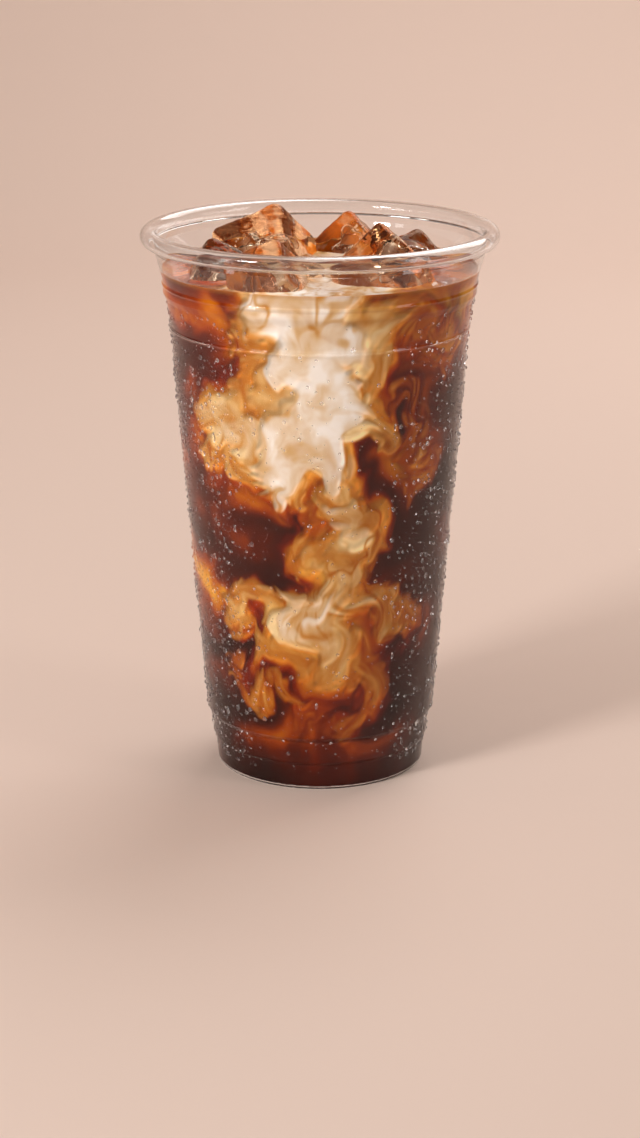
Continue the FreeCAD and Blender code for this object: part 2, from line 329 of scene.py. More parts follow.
def stir(u, v, eddies, period):
    """Turn the coordinates (u, v) round each eddy: its middle, reach and turn. Returns new coordinates."""
    u, v = u.copy(), v.copy()
    for middle_u, middle_v, reach, turn in eddies:
        du, dv = nearest_way(u - middle_u, period), v - middle_v
        near = np.flatnonzero(du * du + dv * dv < (EDDY_REACHES * reach) ** 2)
        if near.size == 0:
            continue
        du, dv = du[near], dv[near]
        angle = turn * np.exp(-(du * du + dv * dv) / reach**2)
        cosine, sine = np.cos(angle), np.sin(angle)
        u[near] += cosine * du - sine * dv - du
        v[near] += sine * du + cosine * dv - dv
    return u, v


def chance_eddies(rng, count, reach, turn, width, low, high):
    """Eddies at chance places, half of them turning each way."""
    return list(zip(
        rng.uniform(-width / 2, width / 2, count),
        rng.uniform(low, high, count),
        reach * rng.uniform(0.7, 1.4, count),
        turn * rng.choice([-1, 1], count) * rng.uniform(0.6, 1.4, count)))


# The eddies that draw out threads: how many, their reach in millimetres, and their turn in radians.
SMALL_EDDIES = [(420, 1.9, 0.9), (190, 4.2, 0.8), (50, 9.0, 0.5)]
print(sum(count for count, _, _ in SMALL_EDDIES), "small eddies in each layer")

# %% Noise that closes round the cup
NOISE_LOW, NOISE_SPAN = -80, 320  # the heights that the noise covers, in millimetres
FINER_SHARE = 0.55  # how strong each finer octave is beside the last


def between(table, x, y, columns=None, eased=False):
    """Read table[y, x] at places between its points. It wraps round after a number of columns, if given."""
    i, j = np.floor(x).astype(int), np.floor(y).astype(int)
    fx, fy = x - i, y - j
    if eased:
        fx, fy = ease(fx), ease(fy)
    if table.ndim == 3:
        fx, fy = fx[:, None], fy[:, None]
    i, after = (i % columns, (i + 1) % columns) if columns else (i, i + 1)
    low = table[j, i] * (1 - fx) + table[j, after] * fx
    high = table[j + 1, i] * (1 - fx) + table[j + 1, after] * fx
    return low * (1 - fy) + high * fy


def patches(seed, u, v, size, octaves=3, period=ROUND):
    """Smooth noise from -1 to 1 with patches of a size in millimetres, and finer ones on top."""
    rng = np.random.default_rng(seed)
    total, weight = np.zeros_like(u), 0.0
    for octave in range(octaves):
        cell = size / 2**octave
        share = FINER_SHARE**octave
        columns = max(3, round(period / cell))
        rows = int(NOISE_SPAN / cell) + 4
        table = rng.uniform(-1, 1, (columns, rows)).T
        x = (u / period) % 1 * columns
        y = np.clip((v - NOISE_LOW) / cell, 0, rows - 2.001)
        total += share * between(table, x, y, columns, eased=True)
        weight += share
    return total / weight


noise_sample = patches(0, np.linspace(0, ROUND, 500), np.zeros(500), 8)
print(f"noise runs from {noise_sample.min():.2f} to {noise_sample.max():.2f}")


# %% The colours of coffee and milk
# Each layer: how far in from the wall it lies and how thick it is, in millimetres.
LAYERS = [(0.2, 0.5), (0.8, 0.8), (1.8, 1.3), (3.3, 1.9), (5.6, 2.8), (9.0, 4.0), (13.5, 5.5), (20.0, 8.0)]
COFFEE_TAKES = np.array([0.045, 0.20, 0.62])  # of red, green and blue, for each millimetre
MILK_SCATTERS = 1.7  # for each millimetre
# What coffee with a share of milk looks like, from black coffee to milk.
MIX_STEPS = [0.0, 0.08, 0.20, 0.38, 0.60, 0.82, 1.0]
MIX_COLOURS = ["#3a0d02", "#783003", "#a2580a", "#bf7e2e", "#d4aa74", "#e5ceb4", "#f6ece2"]
# Deep coffee with no milk in sight, over a slow noise, and the daylight that comes through it in places.
COFFEE_STEPS = [-1.0, -0.3, 0.4, 1.0]
COFFEE_COLOURS = ["#180100", "#2c0300", "#480900", "#6c1802"]
GLOW_STEPS = [0.0, 0.25, 0.6, 1.0, 1.4]
GLOW_COLOURS = ["#000000", "#541400", "#983a00", "#c06a02", "#dc9a28"]


def blend_colours(value, steps, colours):
    """Colours along a scale, in linear light."""
    table = np.array([linear(colour) for colour in colours])
    return np.stack([np.interp(value, steps, table[:, k]) for k in range(3)], axis=-1)


print(f"{len(LAYERS)} layers, down to {LAYERS[-1][0] + LAYERS[-1][1]:.0f} mm in")

# %% How much milk lies at a point
# Lengths in millimetres.
NO_MILK = 30.0  # the depth that stands for no milk in sight
BILLOW_ENDS = 1.5  # past this many half widths a billow has no milk
BILLOW_THICK = 0.9  # its half thickness, as a share of its smaller half width
FACE_BLUR = 1.4  # the depth over which a billow's face fades in


def milk_share(u, v, depth, billows, wander, soft, period):
    """How much of the drink is milk at each point, and the face of the nearest billow there."""
    share = np.zeros_like(u)
    front = np.full_like(u, NO_MILK)
    for middle_u, middle_v, half_u, half_v, near_depth, strength in billows:
        du, dv = nearest_way(u - middle_u, period), v - middle_v
        near = np.flatnonzero((abs(du) < BILLOW_ENDS * half_u) & (abs(dv) < BILLOW_ENDS * half_v))
        if near.size == 0:
            continue
        thick = BILLOW_THICK * min(half_u, half_v)
        past = max(0.0, depth - near_depth - thick) / thick
        out = np.sqrt((du[near] / half_u) ** 2 + (dv[near] / half_v) ** 2 + past**2)
        face = near_depth + 0.6 * thick * (1 - np.sqrt(np.clip(1 - out**2, 0, 1)))
        inside = ease((1.0 + 0.3 * wander[near] - out) / soft[near])
        reached = ease((depth - face) / FACE_BLUR + 0.6)
        share[near] = 1 - (1 - share[near]) * (1 - strength * inside * reached)
        front[near] = np.minimum(front[near], face + NO_MILK * (1 - inside) + 6 * (1 - strength))
    return share, front


PUFFS = 7


def with_puffs(billows, seed):
    """Each billow with the thin haze behind it and the smaller puffs that roll out of it."""
    rng = np.random.default_rng(seed)
    made = []
    for u, v, half_u, half_v, near_depth, strength in billows:
        made.append((u, v, 1.5 * half_u, 1.4 * half_v, near_depth + 3.5, 0.30 * strength))
        made.append((u, v, half_u, half_v, near_depth + 0.8, 0.85 * strength))
        for turn in np.arange(0, 2 * math.pi, 2 * math.pi / PUFFS):
            turn += rng.uniform(-0.3, 0.3)
            size = rng.uniform(0.30, 0.52) * min(half_u, half_v)
            made.append((u + 0.66 * half_u * math.cos(turn), v + 0.66 * half_v * math.sin(turn),
                         1.1 * size, size, near_depth + rng.uniform(0, 1.6), strength * rng.uniform(0.7, 1.0)))
    return made


print(f"each billow is drawn as {2 + PUFFS} soft ones")

# %% Stirring a layer
STIRRED_APART = (1.5, 5.0)  # the depths in millimetres past which the drink is stirred anew
SIDE_REACH = (0, 142)  # the heights of the side that chance eddies fall on
FLAT_REACH = (-45, 45)
THREADS, VEINS, CLOUDS = 0.6, 0.6, 0.24  # how much each of them thins or thickens the milk
DARK_COFFEE = 0.8  # how bright deep coffee is beside its own colours


def line_of(noise, width):
    """1 along the line where a noise crosses 0, falling to nothing a width away."""
    return np.exp(-((noise / width) ** 2))


def stirred_layer(u, v, eddies, seed, layer, period):
    """The coordinates after stirring, and there the noises that shape the milk."""
    rng = np.random.default_rng(seed + layer)
    low, high = SIDE_REACH if period else FLAT_REACH
    width = period or high - low
    small = [eddy for kind in SMALL_EDDIES for eddy in chance_eddies(rng, *kind, width, low, high)]
    u, v = stir(*stir(u, v, small, period), eddies, period)
    wander = patches(seed + 20, u, v, 8)
    soft = 0.46 + 0.32 * patches(seed + 60, u, v, 14, 2)
    threads = patches(seed + 30 + layer, u, 0.7 * v, 3.0)
    vein = line_of(patches(seed + 70 + layer, u, v, 15, 3), 0.05)
    fan = line_of(patches(seed + 90 + layer, 2 * u, 0.6 * v, 13, 2), 0.06)
    cloud = 1 - CLOUDS * ease(0.5 + 1.5 * patches(seed + 110 + layer, u, v, 11, 3))
    vein = np.maximum(vein, fan) * ease(0.5 + 1.6 * patches(seed + 80 + layer, u, v, 20, 2))
    return u, v, wander, soft, threads, vein, cloud


print("stirred anew at depths of", *STIRRED_APART, "mm")


# %% Looking in, layer by layer
def look_in(u, v, billows, eddies, glow, seed, period):
    """The colour seen at each surface point, looking straight into the drink, and how deep the milk lies."""
    colour = np.zeros(u.shape + (3,))
    passed = np.ones_like(colour)
    unseen = np.ones_like(u)
    nearest = np.full_like(u, NO_MILK)
    layer = None
    for depth, thickness in LAYERS:
        here = sum(depth >= limit for limit in STIRRED_APART)
        if here != layer:
            layer = here
            layer_u, layer_v, wander, soft, threads, vein, cloud = stirred_layer(
                u, v, eddies, seed, layer, period)
        share, front = milk_share(layer_u, layer_v, depth, billows, wander, soft, period)
        nearest = np.minimum(nearest, front)
        share = np.clip(share * (1 + THREADS * threads * (1.4 - share)) * (1 - VEINS * vein) * cloud, 0, 1)
        stopped = 1 - np.exp(-thickness * MILK_SCATTERS * share**1.3)
        colour += passed * stopped[..., None] * blend_colours(share, MIX_STEPS, MIX_COLOURS)
        unseen *= 1 - stopped
        passed *= (1 - stopped)[..., None] * np.exp(-COFFEE_TAKES * (thickness * (1 - share))[..., None])
    mood = patches(seed + 40, layer_u, layer_v, 26, 3)
    light = glow(layer_u, layer_v) * (1 + 1.1 * patches(seed + 50, layer_u, layer_v, 9, 4))
    beyond = (blend_colours(mood, COFFEE_STEPS, COFFEE_COLOURS) * DARK_COFFEE
              + blend_colours(np.clip(light, 0, GLOW_STEPS[-1]), GLOW_STEPS, GLOW_COLOURS))
    colour += unseen[..., None] * beyond
    return colour, nearest


print("one look in at a point goes through", len(LAYERS), "layers")

# %% [markdown]
# ## Where the milk lies
# On the side that faces the camera the plume falls from a white pool at the surface, throws a lobe to the
# left and a browner arm to the right, narrows to a waist, and spreads again low down, where it breaks into
# curls. Round the back smaller plumes hang, made by the same rules from a seed. Where ice or thin coffee lets
# daylight through, the coffee glows amber, and elsewhere it is nearly black.

# %% Billows on the side
# Billows: angle from the front, height, half width in degrees, half height, nearest depth, strength.
FRONT_BILLOWS = [
    (-4, 118, 32, 25, 3.5, 0.50), (46, 129, 18, 12, 6.0, 0.26), (2, 78, 16, 22, 2.5, 0.48),
    (0, 46, 38, 17, 3.5, 0.34), (2, 26, 26, 9, 5.0, 0.16), (-8, 141, 26, 10, -2.4, 1.0),
    (-5, 131, 24, 14, -2.0, 1.0), (15, 132, 19, 9, 0.4, 0.85), (-30, 127, 7, 13, 1.2, 0.62),
    (2, 113, 14, 14, -2.5, 1.0), (-14, 116, 11, 12, 0.2, 0.8), (23, 122, 12, 6, 0.8, 0.72),
    (17, 111, 8, 8, 1.0, 0.64), (-8, 98, 17, 12, -2.5, 1.0), (-17, 90, 9, 6, -1.5, 0.95),
    (7, 95, 10, 8, 0.2, 0.8), (-38, 103, 15, 10, -0.4, 0.88), (-47, 97, 9, 8, 1.0, 0.66),
    (-30, 95, 9, 6, 0.8, 0.7), (-30, 111, 10, 5, 1.0, 0.62), (-43, 110, 8, 4, 2.0, 0.5),
    (29, 109, 12, 5, 3.0, 0.34), (39, 130, 13, 6, 2.9, 0.5), (52, 134, 8, 6, 3.0, 0.55),
    (55, 127, 6, 5, 3.2, 0.45), (30, 138, 9, 4, 2.2, 0.5), (48, 119, 8, 4, 3.2, 0.32),
    (38, 100, 12, 5, 2.6, 0.44), (50, 94, 11, 6, 3.2, 0.34), (43, 88, 9, 4, 3.6, 0.28),
    (8, 84, 10, 11, 0.6, 0.78), (14, 75, 10, 15, 0.9, 0.72), (21, 70, 7, 10, 1.8, 0.55),
    (4, 68, 8, 8, 1.2, 0.62), (12, 80, 7, 10, -0.3, 0.92), (-8, 84, 4, 4, 1.0, 0.6),
    (-10, 72, 3, 11, 1.5, 0.5), (-33, 53, 13, 8, 0.8, 0.64), (-44, 49, 8, 6, 1.6, 0.55),
    (-12, 54, 13, 8, -0.8, 0.92), (0, 50, 12, 8, -0.6, 0.9), (12, 58, 12, 7, 0.2, 0.78),
    (30, 56, 14, 8, 1.4, 0.56), (42, 50, 9, 8, 2.0, 0.46), (8, 42, 15, 9, 0.3, 0.76),
    (-16, 40, 13, 7, 1.3, 0.58), (-26, 29, 11, 5, 1.8, 0.48), (-12, 25, 9, 4, 2.0, 0.42),
    (14, 32, 10, 7, 1.6, 0.5), (16, 22, 8, 6, 2.4, 0.42), (26, 36, 9, 8, 2.2, 0.42),
    (-45, 36, 7, 4, 2.0, 0.45), (-38, 31, 5, 3, 2.4, 0.4), (6, 17, 12, 3, 3.6, 0.24),
    (-10, 18, 7, 3, 4.2, 0.2),
]
print(len(FRONT_BILLOWS), "billows in front")

# %% Eddies and glows on the side
# Eddies: angle, height, reach, and turn in radians.
FRONT_EDDIES = [
    (-24, 118, 8, 0.5), (-46, 102, 8, -1.1), (-34, 96, 7, 1.1), (-15, 94, 8, -0.5), (3, 87, 6, 1.3),
    (-8, 82, 6, -0.8), (20, 104, 7, 1.1), (28, 111, 7, -1.4), (37, 100, 8, 1.2), (24, 124, 8, -0.6),
    (44, 130, 9, 1.5), (56, 131, 7, -1.3), (14, 68, 7, 0.7), (-4, 62, 7, -1.2), (-14, 52, 8, 0.9),
    (-38, 50, 8, -1.3), (-26, 44, 7, 1.1), (6, 50, 8, -0.9), (24, 47, 8, 1.1), (40, 50, 8, -1.1),
    (-10, 36, 8, 1.2), (-24, 27, 8, -1.6), (-44, 36, 5, 1.4), (14, 34, 8, -1.1), (22, 24, 7, 1.5),
    (6, 20, 7, 1.4), (-4, 128, 9, 0.3), (6, 112, 7, -0.4), (24, 73, 8, 0.6), (-2, 74, 6, 0.8),
]
# Where daylight comes through the coffee: angle, height, half width in degrees, half height, strength.
FRONT_GLOWS = [
    (-62, 135, 18, 6, 1.05), (-42, 129, 8, 9, 0.9), (-55, 101, 11, 9, 1.2), (-36, 91, 14, 6, 1.2),
    (-76, 61, 24, 6, 1.1), (-56, 58, 14, 5, 1.1), (-70, 47, 14, 5, 0.6), (45, 133, 20, 9, 1.3),
    (64, 136, 14, 7, 1.2), (41, 124, 12, 8, 1.1), (25, 137, 10, 6, 1.2), (-62, 112, 8, 4, 0.35),
    (50, 112, 9, 7, 0.45), (37, 93, 12, 6, 1.0), (50, 100, 14, 6, 0.5), (0, 12, 40, 6, 0.25),
    (-30, 72, 12, 5, 0.4), (-22, 84, 14, 3, 0.8), (-60, 30, 18, 4, 0.4), (-78, 88, 12, 7, 0.5),
    (30, 62, 20, 5, 0.35), (75, 128, 16, 8, 0.7), (72, 70, 12, 5, 0.3), (-25, 16, 20, 4, 0.4),
    (30, 15, 18, 4, 0.4), (-5, 17, 16, 4, 0.6), (56, 46, 8, 6, 0.5), (-54, 78, 12, 5, 0.4),
]
print(len(FRONT_EDDIES), "eddies and", len(FRONT_GLOWS), "glows in front")

# %% Plumes round the back
# Each plume's angle and girth, and the height they all start from.
PLUME_TOP = 140.0
BACK_PLUMES = [(122, 0.8), (172, 1.0), (-142, 0.9), (-104, 0.5)]


def hanging_plume(rng, angle, girth):
    """Billows, eddies and glows of one plume on the back: from the surface down, in a slow sway."""
    billows, eddies, glows = [], [], []
    height, middle = PLUME_TOP, angle
    while height > 25 + 50 * (1 - girth):
        size = girth * rng.uniform(0.6, 1.2)
        billows.append((middle, height, 13 * size, 9 * size,
                        rng.uniform(0, 2.0), rng.uniform(0.45, 0.95) * girth))
        eddies.append((middle + 8 * size, height - 3, 8 * size, rng.uniform(1.0, 2.0)))
        eddies.append((middle - 8 * size, height - 3, 8 * size, -rng.uniform(1.0, 2.0)))
        glows.append((middle + rng.uniform(-30, 30), height, 14, 6, rng.uniform(0.1, 0.8) * height / PLUME_TOP))
        middle += rng.uniform(-11, 11)
        height -= rng.uniform(7, 13)
    return billows, eddies, glows


def on_side(rows):
    """The same rows with their angles as distances along the side, and a glow's or billow's width too."""
    return [(arc(row[0]), row[1], arc(row[2]), *row[3:]) for row in rows]


SIDE_BILLOWS, SIDE_EDDIES, SIDE_GLOWS = list(FRONT_BILLOWS), list(FRONT_EDDIES), list(FRONT_GLOWS)
plume_rng = np.random.default_rng(4)
for plume_angle, plume_girth in BACK_PLUMES:
    billows, eddies, glows = hanging_plume(plume_rng, plume_angle, plume_girth)
    SIDE_BILLOWS += billows
    SIDE_EDDIES += eddies
    SIDE_GLOWS += glows
SIDE_BILLOWS = with_puffs(on_side(SIDE_BILLOWS), 7)
SIDE_GLOWS = on_side(SIDE_GLOWS)
SIDE_EDDIES = [(arc(angle), height, reach, turn) for angle, height, reach, turn in SIDE_EDDIES]
print(len(SIDE_BILLOWS), "billows and", len(SIDE_EDDIES), "large eddies on the side")

# %% Light on the milk and through the coffee
PAINTED_RELIEF_SHADE = 0.32  # how much painted shade darkens a billow's side away from the upper-left light
RELIEF_DEPTH = 9  # the depth in millimetres past which it isn't shaded


def side_glow(u, v):
    """How much daylight comes through at each point of the side."""
    light = np.zeros_like(u)
    for middle_u, middle_v, half_u, half_v, strength in SIDE_GLOWS:
        du, dv = nearest_way(u - middle_u, ROUND), v - middle_v
        light += strength * np.exp(-((du / half_u) ** 2) - (dv / half_v) ** 2)
    return light


def blurred(grid, weight):
    """A grid with each point blurred into its neighbours, which count 1 to the point's own weight."""
    grid = (np.roll(grid, 1, axis=1) + weight * grid + np.roll(grid, -1, axis=1)) / (weight + 2)
    grid[1:-1] = (grid[:-2] + weight * grid[1:-1] + grid[2:]) / (weight + 2)
    return grid


def shade_relief(colour, nearest, spacing_u, spacing_v):
    """Shade a grid of colours as if its milk were lit from the upper left, from how near each billow bulges."""
    bulge = -np.clip(nearest, 0, RELIEF_DEPTH)
    for _ in range(3):
        bulge = blurred(bulge, 2)
    slope_u = (np.roll(bulge, -1, axis=1) - np.roll(bulge, 1, axis=1)) / (2 * spacing_u)
    slope_v = np.gradient(bulge, spacing_v, axis=0)
    facing = np.clip(0.35 * slope_u - 0.6 * slope_v, -1.0, 1.0)
    return colour * (1 - PAINTED_RELIEF_SHADE * facing)[..., None]


print(f"{len(SIDE_GLOWS)} glows, and relief to {RELIEF_DEPTH} mm in")

# %% [markdown]
# ## The drink's shape
# The drink fills whatever the cup leaves, so its outline is read from the cup: rays from the axis find the
# inner wall, and rays from above find the floor. It reaches a tenth of a millimetre into both, because a gap
# of air between liquid and plastic would shine like a mirror. At its edge water climbs the wall and each ice
# cube in a small curve, the meniscus, which catches the light.
#
# Its side needs about 330,000 points to carry the milk's finest threads, so it is made as four closed slabs,
# one on top of another, that share their rings of points. Past a shared ring each slab runs on for one step,
# tucked in behind its neighbour, so that no edge of a cap shades the ring.

# %% Reading the cup
INTO_WALL = 0.1  # how far the drink reaches into the plastic, in millimetres
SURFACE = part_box("coffee")[1][2] / MM  # the drink's level
LOOK_ANGLES = np.arange(24) * math.pi / 12 + 0.05
FOOT_VALLEY = 27.3  # the radius of the ring that the floor dips to, in millimetres
LOWEST, FLOOR_EDGE = 1.2, 28.4  # the drink's lowest ring: its height and the radius there


def tree_of(thing):
    """A search tree over an object's faces."""
    return BVHTree.FromObject(thing, bpy.context.evaluated_depsgraph_get())


cup = NODES["cup"]
cup_tree = tree_of(cup)


def inner_radius(height):
    """The wall's inside radius at a height, in millimetres."""
    hits = []
    for turn in LOOK_ANGLES:
        way = Vector((math.cos(turn), math.sin(turn), 0))
        hits.append(cup_tree.ray_cast(way * FOOT_VALLEY * MM + Vector((0, 0, height * MM)), way)[0])
    return max(hit.xy.length for hit in hits) / MM


def floor_height(radius):
    """The height of the cup's inside floor at a radius, in millimetres."""
    return cup_tree.ray_cast(Vector((radius * MM, 0, 0.05)), Vector((0, 0, -1)))[0].z / MM


WALL_HEIGHTS = np.concatenate([np.linspace(LOWEST, 18, 60), np.linspace(18.5, SURFACE + 6, 200)])
WALL_RADII = np.array([inner_radius(z) for z in WALL_HEIGHTS]) + INTO_WALL
FLOOR_RADII = np.linspace(0, FLOOR_EDGE, 90)
FLOOR_HEIGHTS = np.array([floor_height(r) for r in FLOOR_RADII]) - INTO_WALL


def wall_at(height):
    """The drink's radius at any height."""
    return np.interp(height, WALL_HEIGHTS, WALL_RADII)


print(f"surface at {SURFACE:.1f} mm, where the drink is {2 * wall_at(SURFACE):.1f} mm across")

# %% The side's colours, on a grid
SIDE_COLUMNS, SIDE_STEP = 800, 0.34
SIDE_ANGLES = np.arange(SIDE_COLUMNS) * 360 / SIDE_COLUMNS - 180
SIDE_HEIGHTS = np.arange(0, SURFACE + 2, SIDE_STEP)


def paint_side():
    """The colour of every point of a grid of angles and heights over the side, a little softened."""
    angles, heights = np.meshgrid(SIDE_ANGLES, SIDE_HEIGHTS)
    colour, nearest = look_in(arc(angles).ravel(), heights.ravel(), SIDE_BILLOWS, SIDE_EDDIES,
                              side_glow, 10, ROUND)
    shape = angles.shape
    spacing = arc(SIDE_ANGLES[1] - SIDE_ANGLES[0])
    painted = shade_relief(colour.reshape(*shape, 3), nearest.reshape(shape), spacing, SIDE_STEP)
    return blurred(painted, 10)


SIDE_PAINT = paint_side()


def side_colour(points):
    """Look the side's colour up at points in millimetres."""
    angle = np.degrees(np.arctan2(points[:, 0], -points[:, 1]))
    x = (angle + 180) / 360 * SIDE_COLUMNS
    y = np.clip(points[:, 2] / SIDE_STEP, 0, len(SIDE_HEIGHTS) - 1.001)
    return between(SIDE_PAINT, x, y, SIDE_COLUMNS)


print("side painted:", SIDE_PAINT.shape)

# %% [markdown]
# ## Ice
# Each block is the CAD's, melted: a copy is rebuilt from even voxels, smoothed, and pushed in and out by slow
# noise, because melting ice keeps its flat faces but loses every hard edge. Its place and size stay the
# frame's.

# %% The ice blocks
ICE_VOXEL = 0.45 * MM
ICE_WANDER, ICE_LOSS = 0.34, 0.2  # how far the melt noise moves the face, and what melts off everywhere, in mm


def merged_copy(node, name):
    """A copy of a CAD mesh with its doubled points merged."""
    mesh = bpy.data.meshes.new(name)
    merge_doubles(node.data, mesh, 1e-6)
    return in_scene(name, mesh)


def melt(block, amount, seed):
    """Push a mesh's points along their normals by slow noise of an amount in millimetres."""
    mesh = block.data
    points = coordinates(mesh) / MM
    normals = np.array([v.normal[:] for v in mesh.vertices])
    u, v, w = points.T
    swell = (patches(seed, u + 0.7 * w, v + 0.5 * w, 9, 1)
             + patches(seed + 1, v - 0.6 * u, w - 140, 8, 1)
             + 0.55 * patches(seed + 2, w + u, v - w + 140, 3.6, 2)
             + 0.5 * patches(seed + 3, u - v, w - 140 + v, 3.2, 2))
    points += normals * (amount * swell - ICE_LOSS)[:, None]
    mesh.vertices.foreach_set("co", (points * MM).ravel())
    mesh.update()


def melted_block(name, seed):
    """A CAD ice node as melted ice."""
    block = merged_copy(NODES[name], name + "_melted")
    rebuild = block.modifiers.new("rebuild", "REMESH")
    rebuild.mode = "VOXEL"
    rebuild.voxel_size = ICE_VOXEL
    soften = block.modifiers.new("soften", "SMOOTH")
    soften.iterations = 6
    soften.factor = 0.5
    plain_mesh(block, name + "_melted")
    melt(block, ICE_WANDER, seed)
    smooth(block.data)
    return block


ice_blocks = [melted_block(name, 40 + 5 * i) for i, name in enumerate(ICE_NODES)]
for block in ice_blocks:
    print(block.name, triangles(block), "triangles")

# %% [markdown]
# ## The surface of the drink
# Seen from above, the poured milk lies as a white pool between the cubes, and the coffee round it is amber
# where it is shallow over ice and brown where it is deep.

# %% The surface's colours
# Billows: place to the right and away from the camera, half width and half length, nearest depth, strength.
TOP_BILLOWS = [
    (-3, -24, 22, 20, -3.0, 1.0), (2, -37, 24, 10, -3.0, 1.0), (2, 4, 13, 20, -3.0, 1.0),
    (-14, 18, 9, 9, -1.0, 0.8), (20, -8, 9, 9, 0.5, 0.6), (26, -28, 10, 7, 1.0, 0.5),
    (-24, -8, 7, 12, 1.0, 0.4), (6, 30, 12, 9, -1.0, 0.9), (-20, 34, 7, 5, 1.2, 0.4),
    (34, 8, 6, 9, 1.4, 0.4),
]
TOP_EDDIES = [
    (-22, -20, 8, 1.4), (18, -24, 7, -1.5), (12, 14, 8, 1.6), (-10, 12, 7, -1.4), (24, 22, 8, 1.2),
    (-26, 20, 8, -1.3), (0, -8, 7, 0.8), (6, 34, 6, 1.5),
]
TOP_STEP = 0.5
TOP_REACH = 46.0


def top_glow(u, v):
    """Daylight in the shallow coffee at the surface, more of it near the wall."""
    return 0.35 + 0.5 * ease((np.hypot(u, v) - 24) / 20)


def paint_top():
    """The colour of every point of a square grid over the surface."""
    line = np.arange(-TOP_REACH, TOP_REACH + TOP_STEP, TOP_STEP)
    x, y = np.meshgrid(line, line)
    colour, nearest = look_in(x.ravel(), y.ravel(), with_puffs(TOP_BILLOWS, 8), TOP_EDDIES,
                              top_glow, 70, None)
    return shade_relief(colour.reshape(*x.shape, 3), nearest.reshape(x.shape), TOP_STEP, TOP_STEP)


TOP_PAINT = paint_top()


def top_colour(points):
    """Look the surface's colour up at points in millimetres, turning into the side's near the wall."""
    x, y = ((points[:, k] + TOP_REACH) / TOP_STEP for k in (0, 1))
    seen = between(TOP_PAINT, x, y)
    below = points.copy()
    below[:, 2] = SURFACE - 1.0
    edge = ease((np.hypot(points[:, 0], points[:, 1]) - wall_at(SURFACE) + 6) / 6)[:, None]
    return seen * (1 - edge) + side_colour(below) * edge


print("surface painted:", TOP_PAINT.shape)

# %% [markdown]
# ## The drink as four slabs
# Each slab is a stack of rings of points, one for each row of colours, closed below and above by a disc. The
# lowest disc lies on the cup's floor and the top one is the drink's surface, which climbs what it wets. The
# hollows of the ice are cut out of the top slab, because ice and liquid must not fill the same place.

# %% Helpers for the slabs
# Heights and lengths in millimetres.
SLAB_JOINTS = [37.6, 75.2, 112.8]
MENISCUS_RISE, MENISCUS_REACH = 1.1, 1.3
TUCK = 0.03  # how far a slab's hidden end ring lies behind its neighbour
FLOOR_SPACING, TOP_SPACING, HIDDEN_SPACING = 0.8, 0.63, 3.0


def ring(height, inset=0.0):
    """One ring of points where the drink meets the wall, at a height, or set in from there."""
    angles = np.radians(SIDE_ANGLES)
    radius = wall_at(height) - inset
    return np.stack([radius * np.sin(angles), -radius * np.cos(angles), np.full_like(angles, height)], axis=-1)


def cap_of(edge, spacing, height_at, upwards):
    """Close a ring of points with a disc: an even grid of points inside it, joined by Delaunay's triangles."""
    radius = np.hypot(*edge[0, :2])
    x, y = np.meshgrid(np.arange(-radius, radius, spacing),
                       np.arange(-radius, radius, spacing * math.sqrt(0.75)))
    x[1::2] += spacing / 2
    inside = np.hypot(x, y) < radius - 0.6 * spacing
    flat = np.concatenate([edge[:, :2], np.stack([x[inside], y[inside]], axis=-1)])
    border = [(i, (i + 1) % len(edge)) for i in range(len(edge))]
    found, _, faces, _, _, _ = delaunay_2d_cdt([Vector(p) for p in flat], border, [], 1, 1e-6)
    found = np.array([p[:] for p in found])
    heights = height_at(found)
    heights[np.hypot(found[:, 0], found[:, 1]) > radius - 0.01] = edge[0, 2]
    return np.column_stack([found, heights]), [face if upwards else face[::-1] for face in faces]


def flat_at(height):
    """The heights of a level cap."""
    return lambda points: np.full(len(points), height)


print("slabs meet at", *SLAB_JOINTS, "mm")


# %% A slab of the drink
def slab(name, low, high, bottom, top):
    """A closed slab of the drink between two heights. bottom and top are each a cap's heights and spacing."""
    levels = np.linspace(low, high, round((high - low) / SIDE_STEP) + 1)
    rings = [ring(z) for z in levels]
    if low in SLAB_JOINTS:
        rings.insert(0, ring(low - SIDE_STEP, TUCK))
    if high in SLAB_JOINTS:
        rings.append(ring(high + SIDE_STEP, TUCK))
    points = np.concatenate(rings)
    faces = ring_faces(len(rings), SIDE_COLUMNS)
    for edge, (height_at, spacing), upwards in ((rings[0], bottom, False), (rings[-1], top, True)):
        cap, cap_faces = cap_of(edge, spacing, height_at, upwards)
        faces += [[len(points) + i for i in face] for face in cap_faces]
        points = np.concatenate([points, cap])
    made = mesh_object(name, points * MM, faces)
    merge_doubles(made.data, made.data, 0.02 * MM)
    return made


print("a ring has", SIDE_COLUMNS, "points")

# %% The wetted surface
FAR_FROM_ICE = 99.0
ice_trees = [tree_of(block) for block in ice_blocks]


def surface_height(points):
    """The liquid's height at points on its surface: level, and climbing what it wets."""
    from_wall = wall_at(SURFACE + MENISCUS_RISE) - np.hypot(points[:, 0], points[:, 1])
    from_ice = np.full(len(points), FAR_FROM_ICE)
    for i, (x, y) in enumerate(points):
        place = Vector((x, y, SURFACE + 0.3)) * MM
        from_ice[i] = min(tree.find_nearest(place)[3] for tree in ice_trees) / MM
    wall_climb = MENISCUS_RISE * np.exp(-from_wall / MENISCUS_REACH)
    ice_climb = 0.8 * MENISCUS_RISE * np.exp(-from_ice / MENISCUS_REACH)
    return SURFACE + np.maximum(wall_climb, ice_climb)


def floor_at(points):
    """The heights of the cup's floor under points."""
    return np.interp(np.hypot(points[:, 0], points[:, 1]), FLOOR_RADII, FLOOR_HEIGHTS)


print(f"water climbs the wall by {MENISCUS_RISE} mm")

# %% The hollows that the ice sits in
HOLLOW_DETAIL = 0.22  # the share of the ice's faces that its hollow keeps


